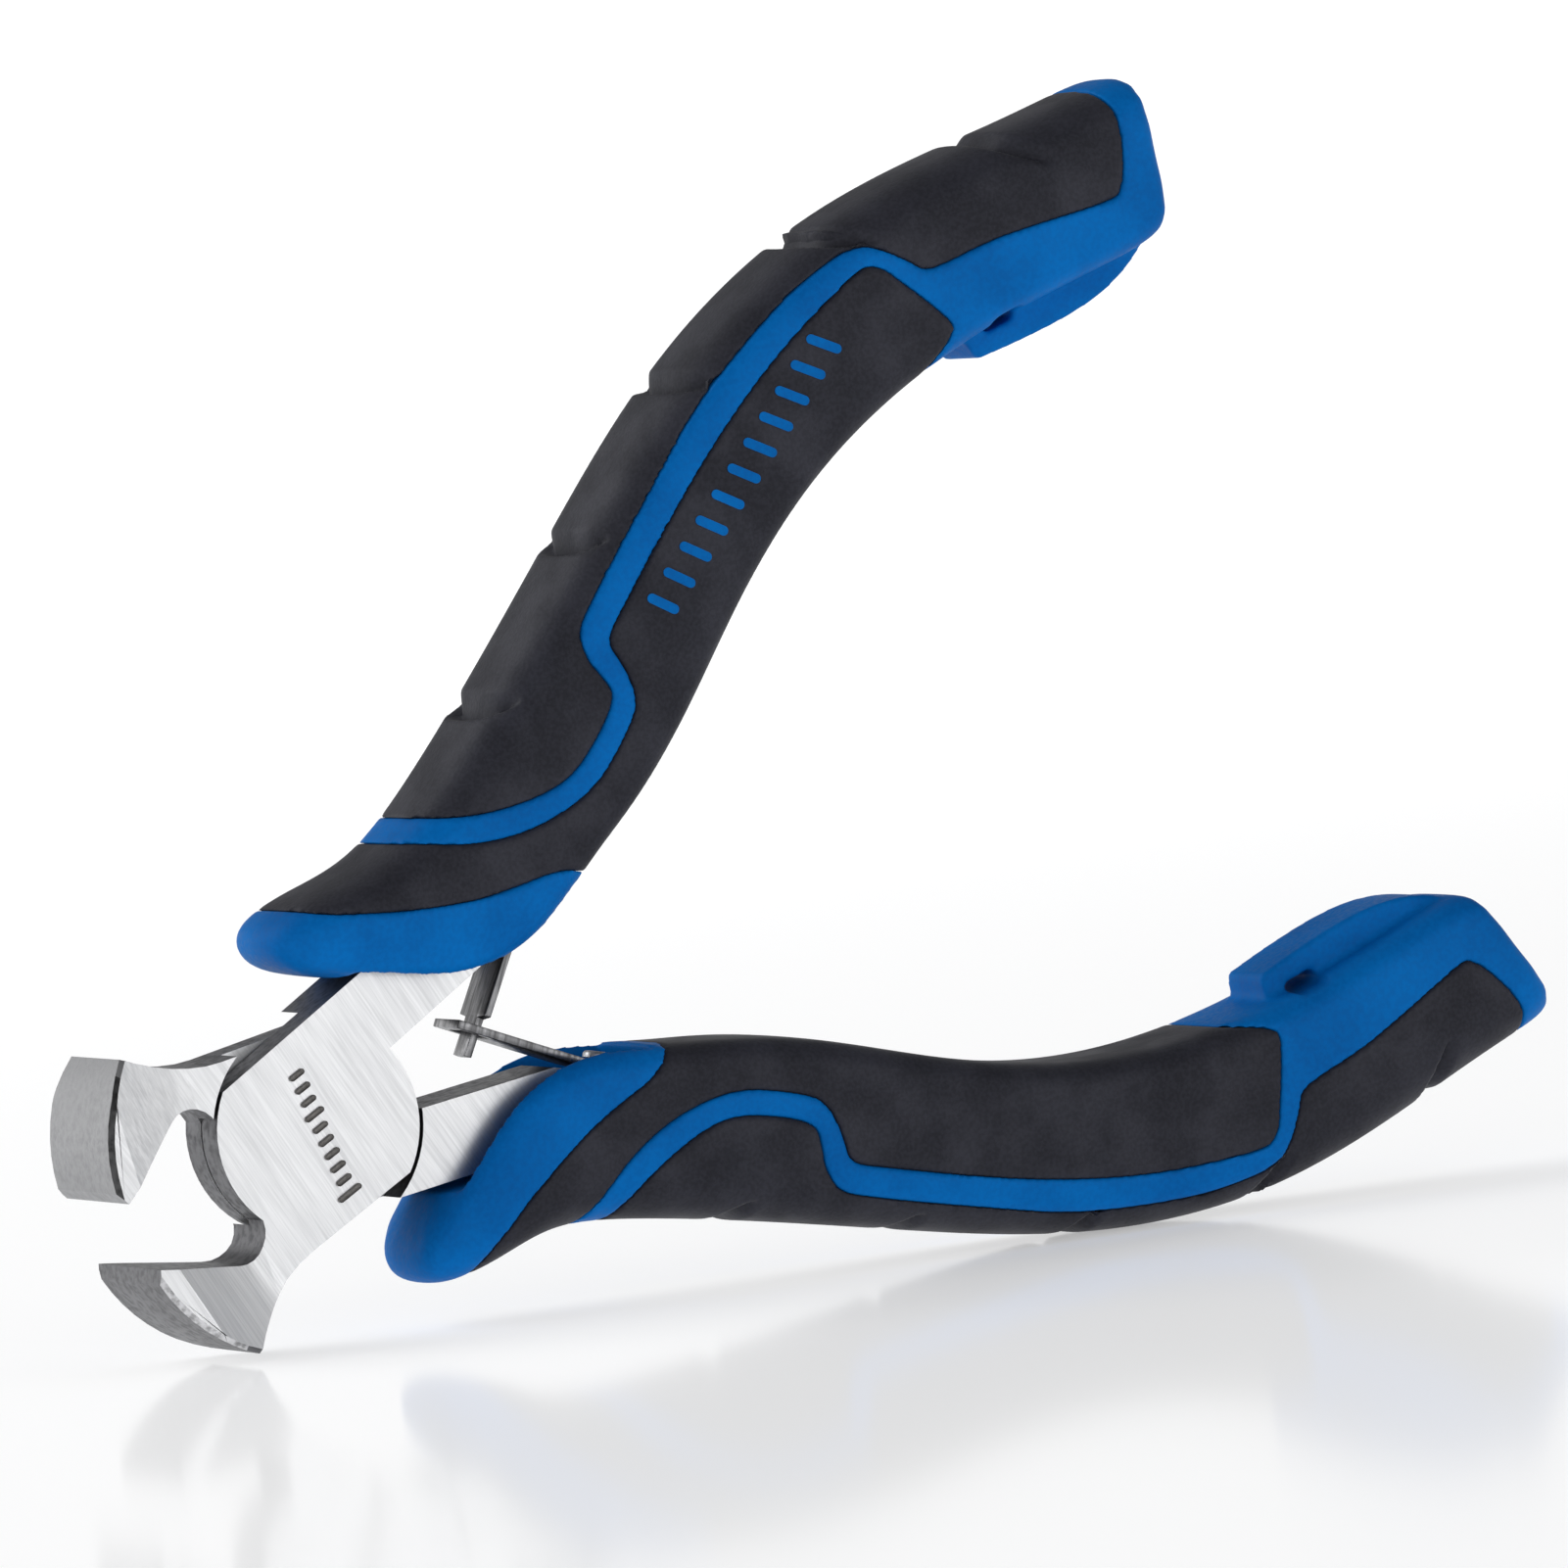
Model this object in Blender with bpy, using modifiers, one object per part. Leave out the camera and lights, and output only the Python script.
"""Flush cutter: a small end-cutting nipper with a lap joint, two leaf springs and two-colour grips.

The two steel halves are one shape, turned half a turn about the tool's long axis. Each half is a
round joint disc, a cutting jaw on one side of the axis and a tang on the other, which carries a
moulded handle and a leaf spring. Every piece of a half is modelled in that half's closed frame:
the pivot at the origin, +X towards the handles, Z across the jaws, Y along the pivot. The frame
is then opened, leaned back until the tool stands on its lower jaw and lower handle, and stood on
Z = 0. Metres throughout.
"""

import math

import bmesh
import bpy
import numpy as np
from mathutils import Matrix, Vector

MM = 0.001

# Joint
DISC_RADIUS = 8.0 * MM
JOINT_THICKNESS = 6.0 * MM
REST_OPENING = math.radians(18.0)
EDGE_GAP = 0.1 * MM
CLEARANCE = 0.3 * MM

# Jaws
JAW_REACH = 16.9 * MM
JAW_WIDTH = 12.0 * MM
JAW_HEIGHT = 10.0 * MM
SHOULDER_HEIGHT = 7.0 * MM
# The shoulder's flat starts this far back, and its sweep is drawn towards this point, both as
# shares: of the disc's radius, and of the heel's distance from the pivot.
SHOULDER_FLAT = 0.72
SHOULDER_PULL = 0.66
NOSE_RADIUS = 13.0 * MM
NOSE_DROP = 1.0 * MM
EDGE_LAND = 0.6 * MM
THROAT_RADIUS = 2.3 * MM
THROAT_ANGLE = 193.5
# The jaws widen from this far outside the disc to this far short of the edge, as a power curve.
FLARE_START = 0.6 * MM
FLARE_END = 1.2 * MM
FLARE_POWER = 1.35

# Tangs
TANG_WIDTH = 5.6 * MM
TANG_END_WIDTH = 4.4 * MM
TANG_OFFSET = 1.3 * MM
# Where the tang's centre line starts, as a share of the disc's radius, and its rise to the bend
TANG_ROOT = 0.55
TANG_RISE = 0.6 * MM
TANG_CORNER = 1.0 * MM
TANG_BEND_DISTANCE = 18.5 * MM
TANG_BEND = math.radians(24.0)
TANG_TAIL = 23.0 * MM

# Pivot rivet
RIVET_RADIUS = 2.2 * MM
RIVET_HEAD_RADIUS = 3.4 * MM
RIVET_HEAD_HEIGHT = 0.9 * MM
RIVET_SKIN = 1.2 * MM
RIVET_EDGE = 0.25 * MM

# Leaf springs
SPRING_THICKNESS = 0.6 * MM
SPRING_WIDTH = 4.6 * MM
TONGUE_WIDTH = 2.2 * MM
CROSSING_REACH = 15.0 * MM
CROSSING_ANGLE = math.radians(43.5)
SPRING_OVERRUN = 2.0 * MM
SPRING_BASE = 3.8 * MM
SPRING_BEND_RADIUS = 0.8 * MM
SLOT_LENGTH = 2.4 * MM
SPRING_RIVET_RADIUS = 0.8 * MM
SPRING_RIVET_HEAD_RADIUS = 1.4 * MM
SPRING_RIVET_HEAD_HEIGHT = 0.5 * MM
SPRING_RIVET_DEPTH = 1.4 * MM
SPRING_RIVET_INSET = 0.5 * MM
SPRING_RIVET_EDGE = 0.2 * MM

# Handles
HANDLE_LENGTH = 95.6 * MM
HANDLE_SWEEP = 22.5 * MM
GRIP_WIDTH = 12.8 * MM
HANDLE_THICKNESS = 12.8 * MM
PAD_THICKNESS = 1.4 * MM
FLANGE_WALL = 2.0 * MM
LUG_THICKNESS = 6.0 * MM
LUG_SLOT_LENGTH = 2.8 * MM
LUG_SLOT_WIDTH = 1.2 * MM

# Where the handle's front starts, measured back from the disc's rim
HANDLE_START = DISC_RADIUS - 4.8 * MM

# Handle sections, front to tail. Each gives its centre along and across the handle, as shares of
# HANDLE_LENGTH and HANDLE_SWEEP, its width and thickness as shares of GRIP_WIDTH and
# HANDLE_THICKNESS, and how far it leans back from upright, in degrees.
SECTIONS = (
    (0.061, 0.300, 0.89, 0.79, 52.8),
    (0.080, 0.333, 1.44, 0.95, 50.7),
    (0.107, 0.355, 1.65, 1.03, 50.1),
    (0.155, 0.372, 1.59, 1.02, 55.2),
    (0.202, 0.356, 1.36, 0.97, 58.2),
    (0.265, 0.429, 1.28, 0.95, 52.1),
    (0.346, 0.558, 1.17, 0.97, 44.5),
    (0.440, 0.736, 1.03, 0.98, 34.5),
    (0.531, 0.889, 1.00, 1.00, 23.0),
    (0.620, 0.980, 1.03, 1.00, 13.1),
    (0.717, 1.004, 1.06, 1.00, 2.1),
    (0.814, 0.953, 1.01, 1.00, -4.4),
    (0.903, 0.871, 0.95, 0.98, -9.5),
    (0.959, 0.838, 0.90, 0.93, -16.3),
    (0.977, 0.840, 0.65, 0.72, -23.2),
)
SECTION_POINTS = 12
SECTION_SQUARENESS = 5.6
# A subdivided ring pulls in by this share, so that its cage is made larger.
SUBDIVISION_PULL = 0.981
# The form under the pads is less square, as its corners need no subdivision.
BED_SQUARENESS = 4.0

# Edges of the pads on a handle, as (section number, place across from -1 inner to +1 outer).
OUTER_PAD_EDGE = (
    (4.66, 1.45), (4.64, 0.85), (4.72, 0.42), (4.94, 0.06), (5.20, -0.10), (5.50, -0.13),
    (5.82, -0.11), (6.02, -0.03), (6.12, 0.14), (6.25, 0.40), (6.42, 0.60), (6.70, 0.65),
    (7.56, 0.66), (8.36, 0.69), (9.30, 0.69), (9.83, 0.66), (10.07, 0.58), (10.20, 0.40),
    (10.32, 0.15), (10.45, -0.04), (11.10, -0.10), (12.16, -0.24), (12.42, -0.18),
    (12.60, 0.10), (12.75, 0.60), (12.66, 0.95), (12.45, 1.45),
)
INNER_PAD_EDGE = (
    (4.32, 1.45), (4.30, 0.92), (4.25, 0.42), (4.35, 0.05), (4.60, -0.20), (4.95, -0.36),
    (5.30, -0.41), (5.80, -0.38), (6.00, -0.30), (6.15, -0.15), (6.30, 0.08), (6.42, 0.27),
    (6.70, 0.30), (7.70, 0.30), (8.50, 0.31), (9.18, 0.34), (9.80, 0.38), (10.00, 0.37),
    (10.09, 0.26), (10.14, 0.10), (10.32, -0.60), (10.26, -0.82), (9.73, -1.10), (9.60, -1.50),
)
FLANGE_EDGE = (
    (3.35, -1.50), (3.35, -0.95), (3.42, -0.78), (3.34, -0.62), (3.04, -0.45), (2.74, -0.20),
    (2.52, 0.20), (2.42, 0.50), (2.36, 0.72), (2.42, 1.00), (2.50, 1.45),
)
PAD_OVERHANG = 1.5
LUG_EDGE = (
    (10.50, -0.60), (10.50, -1.22), (10.64, -1.33), (11.49, -1.38), (12.17, -1.22),
    (12.90, -0.92), (12.90, -0.60),
)
LUG_SLOT_PLACE = (10.85, -1.02)

COLLECTION = "flush_cutter"
CUTTERS = "cutters"


# ---------------------------------------------------------------- scene


def clear_scene():
    """Removes every object, and makes the two collections."""
    for obj in list(bpy.data.objects):
        bpy.data.objects.remove(obj, do_unlink=True)
    for name in (COLLECTION, CUTTERS):
        collection = bpy.data.collections.new(name)
        bpy.context.scene.collection.children.link(collection)


def material(name, colour, roughness, metallic=0.0):
    """A Principled BSDF material."""
    made = bpy.data.materials.new(name)
    made.use_nodes = True
    shader = made.node_tree.nodes["Principled BSDF"]
    shader.inputs["Base Color"].default_value = (*colour, 1.0)
    shader.inputs["Roughness"].default_value = roughness
    shader.inputs["Metallic"].default_value = metallic
    return made


def add_object(name, mesh, collection):
    obj = bpy.data.objects.new(name, mesh)
    bpy.data.collections[collection].objects.link(obj)
    return obj


def cutter_object(name, mesh):
    """An object that only cuts or joins, left out of renders."""
    obj = add_object(name, mesh, CUTTERS)
    obj.hide_render = True
    obj.display_type = "WIRE"
    return obj


def combine(obj, other, operation="DIFFERENCE"):
    modifier = obj.modifiers.new(other.name, "BOOLEAN")
    modifier.operation = operation
    modifier.object = other
    modifier.solver = "EXACT"


def settled_mesh(obj):
    """The object's mesh with its modifiers and its place applied."""
    bpy.context.view_layer.update()
    graph = bpy.context.evaluated_depsgraph_get()
    mesh = bpy.data.meshes.new_from_object(obj.evaluated_get(graph))
    mesh.transform(obj.matrix_world)
    welded = bmesh.new()
    welded.from_mesh(mesh)
    bmesh.ops.remove_doubles(welded, verts=welded.verts, dist=0.002 * MM)
    bmesh.ops.recalc_face_normals(welded, faces=welded.faces)
    welded.to_mesh(mesh)
    welded.free()
    return mesh


# ---------------------------------------------------------------- shapes


def arc(centre, radius, start, end, steps):
    """Points round an arc, from one angle to another, both in degrees."""
    points = []
    for angle in np.radians(np.linspace(start, end, steps + 1)):
        points.append((centre[0] + radius * math.cos(angle), centre[1] + radius * math.sin(angle)))
    return points


def grown(points, distance):
    """A closed outline moved outwards by a distance, corner by corner."""
    area = sum(a[0] * b[1] - b[0] * a[1] for a, b in zip(points, points[1:] + points[:1]))
    side = 1.0 if area > 0 else -1.0
    moved = []
    for before, here, after in zip(points[-1:] + points[:-1], points, points[1:] + points[:1]):
        along = (Vector(here) - Vector(before)).normalized()
        onward = (Vector(after) - Vector(here)).normalized()
        out = Vector((along.y + onward.y, -along.x - onward.x)).normalized()
        spread = max(0.5, out.dot(Vector((along.y, -along.x))))
        moved.append(tuple(Vector(here) + out * side * distance / spread))
    return moved


def outline_mesh(name, points, low, high, upright=True):
    """A flat outline made solid: in X and Z between two depths of Y, or in X and Y between two of Z."""
    curve = bpy.data.curves.new(name, "CURVE")
    curve.dimensions = "2D"
    curve.fill_mode = "BOTH"
    curve.extrude = (high - low) / 2
    spline = curve.splines.new("POLY")
    spline.points.add(len(points) - 1)
    for place, (across, up) in zip(spline.points, points):
        place.co = (across, up, 0.0, 1.0)
    spline.use_cyclic_u = True
    flat = add_object(name, curve, CUTTERS)
    middle = (low + high) / 2
    if upright:
        flat.matrix_world = Matrix.Translation((0, middle, 0)) @ Matrix.Rotation(math.pi / 2, 4, "X")
    else:
        flat.matrix_world = Matrix.Translation((0, 0, middle))
    mesh = settled_mesh(flat)
    bpy.data.objects.remove(flat)
    return mesh


def outline_cutter(name, points, low, high, upright=True):
    return cutter_object(name, outline_mesh(name, points, low, high, upright))


def cylinder_cutter(name, radius, low, high, centre=(0.0, 0.0), segments=48):
    """A round cutter along Y."""
    made = bmesh.new()
    middle = Matrix.Translation((centre[0], (low + high) / 2, centre[1]))
    place = middle @ Matrix.Rotation(math.pi / 2, 4, "X")
    bmesh.ops.create_cone(
        made, cap_ends=True, segments=segments, radius1=radius, radius2=radius, depth=high - low, matrix=place
    )
    mesh = bpy.data.meshes.new(name)
    made.to_mesh(mesh)
    made.free()
    return cutter_object(name, mesh)


def turned_mesh(name, profile, place, steps):
    """A solid turned about its own Z from a profile of (radius, height), top to bottom, then placed."""
    mesh = bpy.data.meshes.new(name)
    mesh.from_pydata([(r, 0.0, z) for r, z in profile], [(i, i + 1) for i in range(len(profile) - 1)], [])
    obj = cutter_object(name + "_profile", mesh)
    screw = obj.modifiers.new("turn", "SCREW")
    screw.steps = steps
    screw.render_steps = steps
    screw.use_merge_vertices = True
    screw.merge_threshold = 0.01 * MM
    obj.matrix_world = place
    turned = settled_mesh(obj)
    bpy.data.objects.remove(obj)
    return turned


def node(name, mesh, parent, finish):
    """One finished piece, with a mesh of its own half's frame."""
    obj = add_object(name, mesh, COLLECTION)
    obj.parent = parent
    if not mesh.materials:
        mesh.materials.append(finish)
    mesh.shade_smooth()
    mesh.set_sharp_from_angle(angle=math.radians(30))
    return obj


# ---------------------------------------------------------------- steel halves


def tang_line():
    """The tang's centre line: its root, its bend and its end."""
    root = Vector((DISC_RADIUS * TANG_ROOT, TANG_OFFSET + TANG_WIDTH / 2))
    bend = Vector((TANG_BEND_DISTANCE, root.y + TANG_RISE))
    end = bend + TANG_TAIL * Vector((math.cos(TANG_BEND), math.sin(TANG_BEND)))
    return root, bend, end


def tang_sides():
    """The tang's inner and outer sides, each as points from the joint to the end."""
    root, bend, end = tang_line()
    across_root = Vector((0, 1)) * TANG_WIDTH / 2
    across_end = Vector((-math.sin(TANG_BEND), math.cos(TANG_BEND)))
    spread = TANG_WIDTH / 2 / math.cos(TANG_BEND / 2)
    across_bend = (Vector((0, 1)) + across_end).normalized() * spread
    corner = TANG_END_WIDTH / 2 * across_end
    back = TANG_CORNER * Vector((math.cos(TANG_BEND), math.sin(TANG_BEND)))
    inner = [root - across_root, bend - across_bend, end - corner - back, end - 0.6 * corner]
    outer = [root + across_root, bend + across_bend, end + corner - back, end + 0.6 * corner]
    return inner, outer


def half_outline():
    """The front half in its closed frame: jaw below the axis, disc, and tang above it."""
    edge = (-JAW_REACH, -EDGE_GAP / 2)
    nose_centre = (-JAW_REACH - EDGE_LAND + NOSE_RADIUS, -NOSE_DROP)
    heel_angle = 180 + math.degrees(math.asin((JAW_HEIGHT + nose_centre[1]) / NOSE_RADIUS))
    nose = arc(nose_centre, NOSE_RADIUS, 180, heel_angle, 8)
    heel = Vector(nose[-1])

    # The shoulder sweeps from the heel to a flat, which runs on to the disc's rim.
    side_angle = 360 - math.degrees(math.asin(SHOULDER_HEIGHT / DISC_RADIUS))
    flat = Vector((-DISC_RADIUS * SHOULDER_FLAT, -SHOULDER_HEIGHT))
    pull = Vector((heel.x * SHOULDER_PULL, -SHOULDER_HEIGHT))
    shoulder = []
    for t in np.linspace(0.12, 1.0, 6):
        shoulder.append(tuple((1 - t) ** 2 * heel + 2 * t * (1 - t) * pull + t**2 * flat))

    inner, outer = tang_sides()
    inner_angle = math.degrees(math.asin(inner[0].y / DISC_RADIUS))
    height = min(0.95, (outer[0].y - CLEARANCE) / DISC_RADIUS)
    outer_angle = 180 - math.degrees(math.asin(height))
    disc_front = arc((0, 0), DISC_RADIUS, side_angle, 360 + inner_angle, 14)

    # The throat is a round notch between the disc and the jaw's bevel.
    reach = DISC_RADIUS + THROAT_RADIUS - CLEARANCE
    throat = Vector(arc((0, 0), reach, THROAT_ANGLE, THROAT_ANGLE, 0)[0])
    cosine = (reach**2 + DISC_RADIUS**2 - THROAT_RADIUS**2) / (2 * reach * DISC_RADIUS)
    open_half = math.degrees(math.acos(cosine))
    disc_back = arc((0, 0), DISC_RADIUS, outer_angle, THROAT_ANGLE + open_half, 12)
    first = math.degrees(math.atan2(disc_back[-1][1] - throat.y, disc_back[-1][0] - throat.x))
    to_edge = Vector(edge) - throat
    away = math.degrees(math.atan2(to_edge.y, to_edge.x))
    tangent = away - 360 * (away > 0) + math.degrees(math.acos(THROAT_RADIUS / to_edge.length))
    notch = arc(throat, THROAT_RADIUS, first, tangent, 7)[1:]

    tang = [tuple(p) for p in inner[1:]] + [tuple(p) for p in reversed(outer[1:])]
    return [edge] + nose + shoulder + disc_front + tang + disc_back + notch


def flare_outline():
    """Seen from above: as thin as the joint, widening to the full width of the jaws."""
    slim = JOINT_THICKNESS / 2
    wide = JAW_WIDTH / 2
    start = DISC_RADIUS + FLARE_START
    full = JAW_REACH - FLARE_END
    curve = []
    for t in np.linspace(0, 1, 5):
        curve.append((-(start + t * (full - start)), slim + (wide - slim) * t**FLARE_POWER))
    beyond = JAW_REACH + NOSE_RADIUS
    far = tang_line()[-1].x + JAW_REACH
    side = [(far, slim)] + curve + [(-beyond, wide)]
    return side + [(x, -y) for x, y in reversed(side)]


def cutter_half(name, rivet_cuts):
    """One steel half, as the front half: its disc fills the layer nearer than Y = 0."""
    wide = JAW_WIDTH
    body = outline_cutter(name + "_body", half_outline(), -wide, wide)
    tall = 3 * JAW_REACH
    combine(body, outline_cutter(name + "_flare", flare_outline(), -tall, tall, False), "INTERSECT")
    lap = DISC_RADIUS + CLEARANCE
    combine(body, cylinder_cutter(name + "_lap", lap, -CLEARANCE / 2, wide * 1.5, segments=64))
    for cut in (*rivet_cuts, rivet_hole(name + "_spring_bore", CLEARANCE)):
        combine(body, cut)
    return settled_mesh(body)


def front_half():
    skin = -JOINT_THICKNESS / 2 + RIVET_SKIN
    bore = cylinder_cutter("front_bore", RIVET_RADIUS + CLEARANCE, skin, JOINT_THICKNESS)
    return cutter_half("front_half", [bore])


def back_half():
    """The same half, with the rivet's through bore and the counterbore for its head."""
    outside = -JOINT_THICKNESS / 2
    bore = cylinder_cutter("back_bore", RIVET_RADIUS + CLEARANCE, 2 * outside, -outside)
    head = cylinder_cutter(
        "head_bore", RIVET_HEAD_RADIUS + CLEARANCE, 2 * outside, outside + RIVET_HEAD_HEIGHT + CLEARANCE
    )
    return cutter_half("back_half", [bore, head])


def pivot_rivet():
    """Headed at the back face and blind under the front one. Modelled in the back half's frame."""
    head = JOINT_THICKNESS / 2
    tip = -head + RIVET_SKIN + CLEARANCE
    shoulder = head - RIVET_HEAD_HEIGHT
    profile = [
        (0.0, head),
        (RIVET_HEAD_RADIUS - RIVET_EDGE, head),
        (RIVET_HEAD_RADIUS, head - RIVET_EDGE),
        (RIVET_HEAD_RADIUS, shoulder),
        (RIVET_RADIUS, shoulder),
        (RIVET_RADIUS, tip + RIVET_EDGE),
        (RIVET_RADIUS - RIVET_EDGE, tip),
        (0.0, tip),
    ]
    return turned_mesh("pivot_rivet_turned", profile, Matrix.Rotation(math.pi / 2, 4, "X"), 40)


# ---------------------------------------------------------------- springs


def spring_frame():
    """A leaf in the closed frame: its crossing, its direction, its bend and the way along its base."""
    half_turn = REST_OPENING / 2
    crossing = CROSSING_REACH * Vector((math.cos(half_turn), -math.sin(half_turn)))
    slope = CROSSING_ANGLE - half_turn
    way = Vector((math.cos(slope), math.sin(slope)))
    inner, _ = tang_sides()
    base_way = (inner[2] - inner[1]).normalized()
    down = Vector((base_way.y, -base_way.x))
    seat = inner[2] + (CLEARANCE + SPRING_THICKNESS / 2) * down
    # Where the leaf's line meets the line of its base, which lies against the tang.
    across = way.x * base_way.y - way.y * base_way.x
    gap = seat - crossing
    bend = crossing + way * (gap.x * base_way.y - gap.y * base_way.x) / across
    return crossing, way, bend, base_way


def spring_strip(name, hole):
    crossing, way, bend, base_way = spring_frame()
    tip = crossing - SPRING_OVERRUN * way
    soft = SPRING_BEND_RADIUS
    turn = bend + soft * 0.12 * (base_way - way)
    line = [tip, bend - soft * way, turn, bend + soft * base_way, bend + SPRING_BASE * base_way]
    half = SPRING_THICKNESS / 2
    above = []
    below = []
    for i, place in enumerate(line):
        along = (line[min(i + 1, len(line) - 1)] - line[max(i - 1, 0)]).normalized()
        side = Vector((-along.y, along.x)) * half
        above.append(tuple(place + side))
        below.append(tuple(place - side))
    wide = SPRING_WIDTH / 2
    strip = outline_cutter(name, above + below[::-1], -wide, wide)
    combine(strip, hole)
    return strip


def rivet_place():
    """The spring rivet's axis: on the base, pointing into the tang."""
    _, _, bend, base_way = spring_frame()
    seat = bend + (SPRING_BASE - SPRING_RIVET_HEAD_RADIUS - SPRING_RIVET_INSET) * base_way
    into = Vector((-base_way.y, 0.0, base_way.x))
    turn = Vector((0, 0, -1)).rotation_difference(into).to_matrix().to_4x4()
    return Matrix.Translation((seat.x, 0.0, seat.y)) @ turn


def rivet_hole(name, extra):
    """A round cutter on the spring rivet's axis, through the leaf and into the tang."""
    low = -(SPRING_THICKNESS / 2 + CLEARANCE + SPRING_RIVET_DEPTH + CLEARANCE)
    high = SPRING_THICKNESS * 2
    made = bmesh.new()
    place = rivet_place() @ Matrix.Translation((0, 0, (low + high) / 2))
    radius = SPRING_RIVET_RADIUS + extra
    bmesh.ops.create_cone(
        made, cap_ends=True, segments=24, radius1=radius, radius2=radius, depth=high - low, matrix=place
    )
    mesh = bpy.data.meshes.new(name)
    made.to_mesh(mesh)
    made.free()
    return cutter_object(name, mesh)


def block_cutter(name, centre, along, length, low, high, thickness):
    """A block in the leaf's own direction, between two depths of Y."""
    side = Vector((-along.y, along.x)) * thickness / 2
    reach = along * length / 2
    corners = [centre - reach - side, centre + reach - side, centre + reach + side, centre - reach + side]
    return outline_cutter(name, [tuple(c) for c in corners], low, high)


def upper_spring():
    """The leaf whose narrow tongue passes through the other leaf."""
    strip = spring_strip("upper_strip", rivet_hole("upper_spring_hole", CLEARANCE))
    crossing, way, _, _ = spring_frame()
    shoulder = SLOT_LENGTH / 2 - 0.2 * MM
    length = shoulder + 2 * SPRING_OVERRUN
    centre = crossing + way * (shoulder - length / 2)
    for sign in (-1, 1):
        near, far = sorted((sign * TONGUE_WIDTH / 2, sign * SPRING_WIDTH))
        name = "tongue_side_front" if sign < 0 else "tongue_side_back"
        combine(strip, block_cutter(name, centre, way, length, near, far, 4 * SPRING_THICKNESS))
    return settled_mesh(strip)


def lower_spring():
    """The leaf with the slot."""
    strip = spring_strip("lower_strip", rivet_hole("lower_spring_hole", CLEARANCE))
    crossing, way, _, _ = spring_frame()
    wide = TONGUE_WIDTH / 2 + CLEARANCE
    combine(strip, block_cutter("slot", crossing, way, SLOT_LENGTH, -wide, wide, 4 * SPRING_THICKNESS))
    return settled_mesh(strip)


def spring_rivet():
    seat = SPRING_THICKNESS / 2 + CLEARANCE
    head = seat + SPRING_RIVET_HEAD_HEIGHT
    tip = -(SPRING_THICKNESS / 2 + CLEARANCE + SPRING_RIVET_DEPTH)
    profile = [
        (0.0, head),
        (SPRING_RIVET_HEAD_RADIUS - SPRING_RIVET_EDGE, head),
        (SPRING_RIVET_HEAD_RADIUS, head - SPRING_RIVET_EDGE),
        (SPRING_RIVET_HEAD_RADIUS, seat),
        (SPRING_RIVET_RADIUS, seat),
        (SPRING_RIVET_RADIUS, tip),
        (0.0, tip),
    ]
    return turned_mesh("spring_rivet_turned", profile, rivet_place(), 24)


# ---------------------------------------------------------------- handles


def section_ends(extra):
    """Inner and outer end of every handle section, drawn in by an amount, and its half thickness."""
    ends = []
    for along, across, width, thickness, lean in SECTIONS:
        centre = Vector((HANDLE_START + along * HANDLE_LENGTH, across * HANDLE_SWEEP))
        reach = width * GRIP_WIDTH / 2 - extra
        way = Vector((-math.sin(math.radians(lean)), math.cos(math.radians(lean))))
        ends.append((centre - reach * way, centre + reach * way, thickness * HANDLE_THICKNESS / 2 - extra))
    return ends


def through(points, place):
    """A smooth curve through points, read at a place counted in points."""
    i = int(min(max(math.floor(place), 0), len(points) - 2))
    t = place - i
    b, c = points[i], points[i + 1]
    a = points[i - 1] if i > 0 else 2 * b - c
    d = points[i + 2] if i + 2 < len(points) else 2 * c - b
    cubic = (3 * b - a - 3 * c + d) * t**3
    return 0.5 * (2 * b + (c - a) * t + (2 * a - 5 * b + 4 * c - d) * t**2 + cubic)


def handle_place(section, across):
    """A point of the handle's plane, from a section number and a place across it."""
    ends = section_ends(0.0)
    inner = through([e[0] for e in ends], section)
    outer = through([e[1] for e in ends], section)
    return (inner + outer) / 2 + (outer - inner) / 2 * across


def handle_outline(edge):
    return [tuple(handle_place(section, across)) for section, across in edge]


def form_mesh(name, ends, points, squareness, levels):
    """A closed form lofted through the sections, rounded by subdivision."""
    made = bmesh.new()
    rings = []
    for inner, outer, half in ends:
        centre = (inner + outer) / 2
        reach = (outer - inner) / 2
        ring = []
        for k in range(points):
            turn = 2 * math.pi * k / points
            along = math.copysign(abs(math.cos(turn)) ** (2 / squareness), math.cos(turn))
            deep = math.copysign(abs(math.sin(turn)) ** (2 / squareness), math.sin(turn))
            spot = centre + reach * along
            ring.append(made.verts.new((spot.x, half * deep, spot.y)))
        rings.append(ring)
    for ring, onward in zip(rings, rings[1:]):
        for k in range(points):
            following = (k + 1) % points
            made.faces.new((ring[k], ring[following], onward[following], onward[k]))
    made.faces.new(rings[0][::-1])
    made.faces.new(rings[-1])
    bmesh.ops.recalc_face_normals(made, faces=made.faces)
    mesh = bpy.data.meshes.new(name)
    made.to_mesh(mesh)
    made.free()
    obj = cutter_object(name, mesh)
    if levels:
        smooth = obj.modifiers.new("round", "SUBSURF")
        smooth.levels = levels
        smooth.render_levels = levels
    return obj


def handle_form(name):
    """The whole handle's outer form."""
    swell = 1 / SUBDIVISION_PULL
    ends = []
    for inner, outer, half in section_ends(0.0):
        centre = (inner + outer) / 2
        ends.append((centre + (inner - centre) * swell, centre + (outer - centre) * swell, half * swell))
    return form_mesh(name, ends, SECTION_POINTS, SECTION_SQUARENESS, 1)


def bed_form(name, extra):
    """The form under the pads, drawn in by the pads' thickness."""
    ends = section_ends(PAD_THICKNESS - extra)[1:-1]
    return form_mesh(name, ends, SECTION_POINTS, BED_SQUARENESS, 0)


def outer_pad_outline():
    sections = np.linspace(OUTER_PAD_EDGE[-1][0], OUTER_PAD_EDGE[0][0], 9)
    return handle_outline(list(OUTER_PAD_EDGE) + [(section, PAD_OVERHANG) for section in sections])


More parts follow.
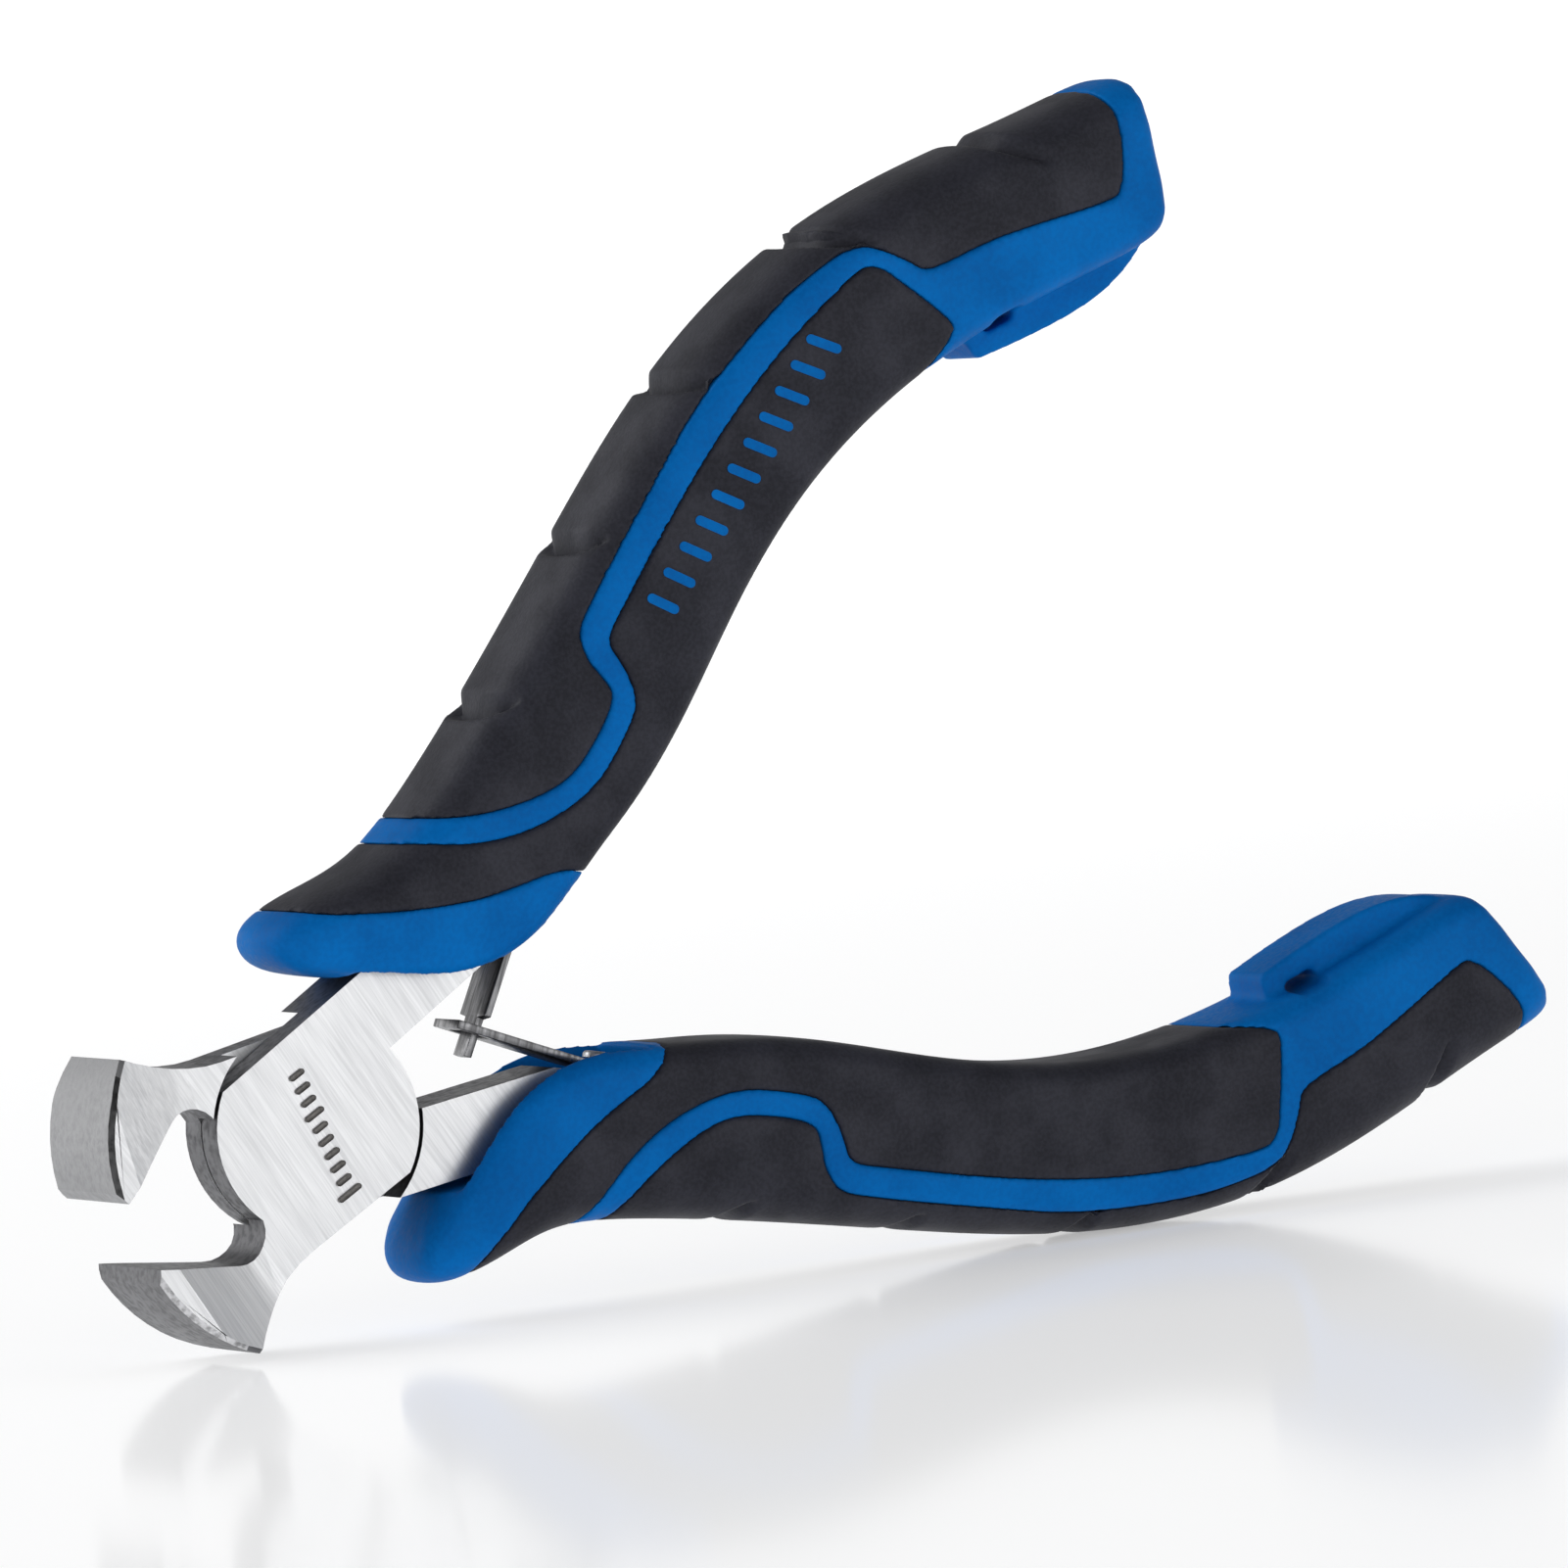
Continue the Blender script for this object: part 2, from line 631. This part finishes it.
def inner_pad_outline():
    under = [(section, -PAD_OVERHANG) for section in np.linspace(9.2, 3.6, 7)]
    over = [(section, PAD_OVERHANG) for section in (2.5, 3.3, 4.32)]
    return handle_outline(list(INNER_PAD_EDGE) + under + list(FLANGE_EDGE) + over)


def pad(name, outline):
    """A soft pad: the handle's form inside an outline, outside the bed."""
    body = handle_form(name + "_form")
    deep = HANDLE_THICKNESS
    combine(body, outline_cutter(name + "_region", outline, -deep, deep), "INTERSECT")
    combine(body, bed_form(name + "_bed", CLEARANCE))
    return settled_mesh(body)


def pocket_outlines():
    """The tang's pocket, and the wider one at the front that is open on the inner side."""
    inner, outer = tang_sides()
    tang = grown([tuple(p) for p in inner] + [tuple(p) for p in reversed(outer)], CLEARANCE)
    _, _, bend, base_way = spring_frame()
    stop = bend + (SPRING_BASE + 2 * CLEARANCE) * base_way
    roof = outer[1] + Vector((0.0, 2 * CLEARANCE))
    open_side = -DISC_RADIUS
    front = [
        (0.0, open_side),
        (stop.x, open_side),
        (stop.x, stop.y + TANG_WIDTH / 3),
        (roof.x, roof.y),
        (0.0, roof.y - 2 * CLEARANCE),
    ]
    return tang, front


def handle_core():
    """The hard core: flange, stripe, tail cap and lug outside, and the bed of the pads."""
    body = handle_form("core_form")
    deep = HANDLE_THICKNESS
    for name, outline in (("outer", outer_pad_outline()), ("inner", inner_pad_outline())):
        shell = outline_cutter(name + "_recess", grown(outline, CLEARANCE), -deep, deep)
        combine(shell, bed_form(name + "_recess_bed", 0.0))
        combine(body, shell)
    lug_deep = LUG_THICKNESS / 2
    combine(body, outline_cutter("lug", handle_outline(LUG_EDGE), -lug_deep, lug_deep), "UNION")

    place = handle_place(*LUG_SLOT_PLACE)
    onward = (handle_place(LUG_SLOT_PLACE[0] + 0.3, LUG_SLOT_PLACE[1]) - place).normalized()
    combine(body, block_cutter("lug_slot", place, onward, LUG_SLOT_LENGTH, -deep, deep, LUG_SLOT_WIDTH))

    tang, front = pocket_outlines()
    slim = JOINT_THICKNESS / 2 + CLEARANCE
    combine(body, outline_cutter("tang_pocket", tang, -slim, slim))
    wall = HANDLE_THICKNESS / 2 - FLANGE_WALL
    combine(body, outline_cutter("front_pocket", front, -wall, wall))
    reach = DISC_RADIUS + 2 * CLEARANCE
    combine(body, cylinder_cutter("joint_relief", reach, -deep, deep, segments=64))
    return settled_mesh(body)


# ---------------------------------------------------------------- assembly


def lowest(points, lean):
    """Height of the lowest of some points of X and Z, once leaned back by an angle."""
    return float((points[:, 0] * math.sin(lean) + points[:, 1] * math.cos(lean)).min())


def flat_points(objects):
    """X and Z of every vertex of some objects."""
    bpy.context.view_layer.update()
    rows = [obj.matrix_world @ vertex.co for obj in objects for vertex in obj.data.vertices]
    return np.array([(row.x, row.z) for row in rows])


def stand(front, back, jaw_side, handle_side):
    """Leans and moves the tool until its lower jaw and its lower handle both rest on Z = 0."""
    jaw = flat_points(jaw_side)
    handle = flat_points(handle_side)
    low, high = 0.0, math.radians(60)
    for _ in range(60):
        lean = (low + high) / 2
        if lowest(jaw, lean) < lowest(handle, lean):
            high = lean
        else:
            low = lean
    turn = Matrix.Rotation(-lean, 4, "Y")
    for pivot in (front, back):
        pivot.matrix_world = turn @ pivot.matrix_world
    everything = flat_points(bpy.data.collections[COLLECTION].objects[:])
    middle = (everything[:, 0].min() + everything[:, 0].max()) / 2
    lift = Matrix.Translation((-middle, 0.0, -everything[:, 1].min()))
    for pivot in (front, back):
        pivot.matrix_world = lift @ pivot.matrix_world


def pivot_empty(name, matrix):
    empty = bpy.data.objects.new(name, None)
    bpy.context.scene.collection.objects.link(empty)
    empty.matrix_world = matrix
    return empty


def main():
    clear_scene()
    steel = material("ground_steel", (0.62, 0.62, 0.62), 0.32, 1.0)
    spring_steel = material("spring_steel", (0.42, 0.42, 0.42), 0.3, 1.0)
    rivet_steel = material("rivet_steel", (0.5, 0.5, 0.5), 0.35, 1.0)
    core_plastic = material("blue_core_plastic", (0.003, 0.127, 0.445), 0.42)
    pad_rubber = material("black_pad_rubber", (0.03, 0.03, 0.036), 0.7)

    # The front half and the upper handle turn together. The back half is the same, turned over.
    opening = Matrix.Rotation(-REST_OPENING / 2, 4, "Y")
    closing = Matrix.Rotation(REST_OPENING / 2, 4, "Y")
    front = pivot_empty("front_half_pivot", opening)
    back = pivot_empty("back_half_pivot", closing @ Matrix.Rotation(math.pi, 4, "X"))

    lower_jaw = node("front_cutter_half", front_half(), front, steel)
    node("back_cutter_half", back_half(), back, steel)
    node("pivot_rivet", pivot_rivet(), back, rivet_steel)
    node("upper_leaf_spring", upper_spring(), front, spring_steel)
    node("lower_leaf_spring", lower_spring(), back, spring_steel)

    rivet = spring_rivet()
    core = handle_core()
    outer = pad("outer_pad", outer_pad_outline())
    inner = pad("inner_pad", inner_pad_outline())
    lower_handle = []
    for side, pivot in (("upper", front), ("lower", back)):
        node(side + "_spring_rivet", rivet, pivot, rivet_steel)
        pieces = [
            node(side + "_handle_core", core, pivot, core_plastic),
            node(side + "_outer_grip_pad", outer, pivot, pad_rubber),
            node(side + "_inner_grip_pad", inner, pivot, pad_rubber),
        ]
        if side == "lower":
            lower_handle = pieces
    stand(front, back, [lower_jaw], lower_handle)


main()
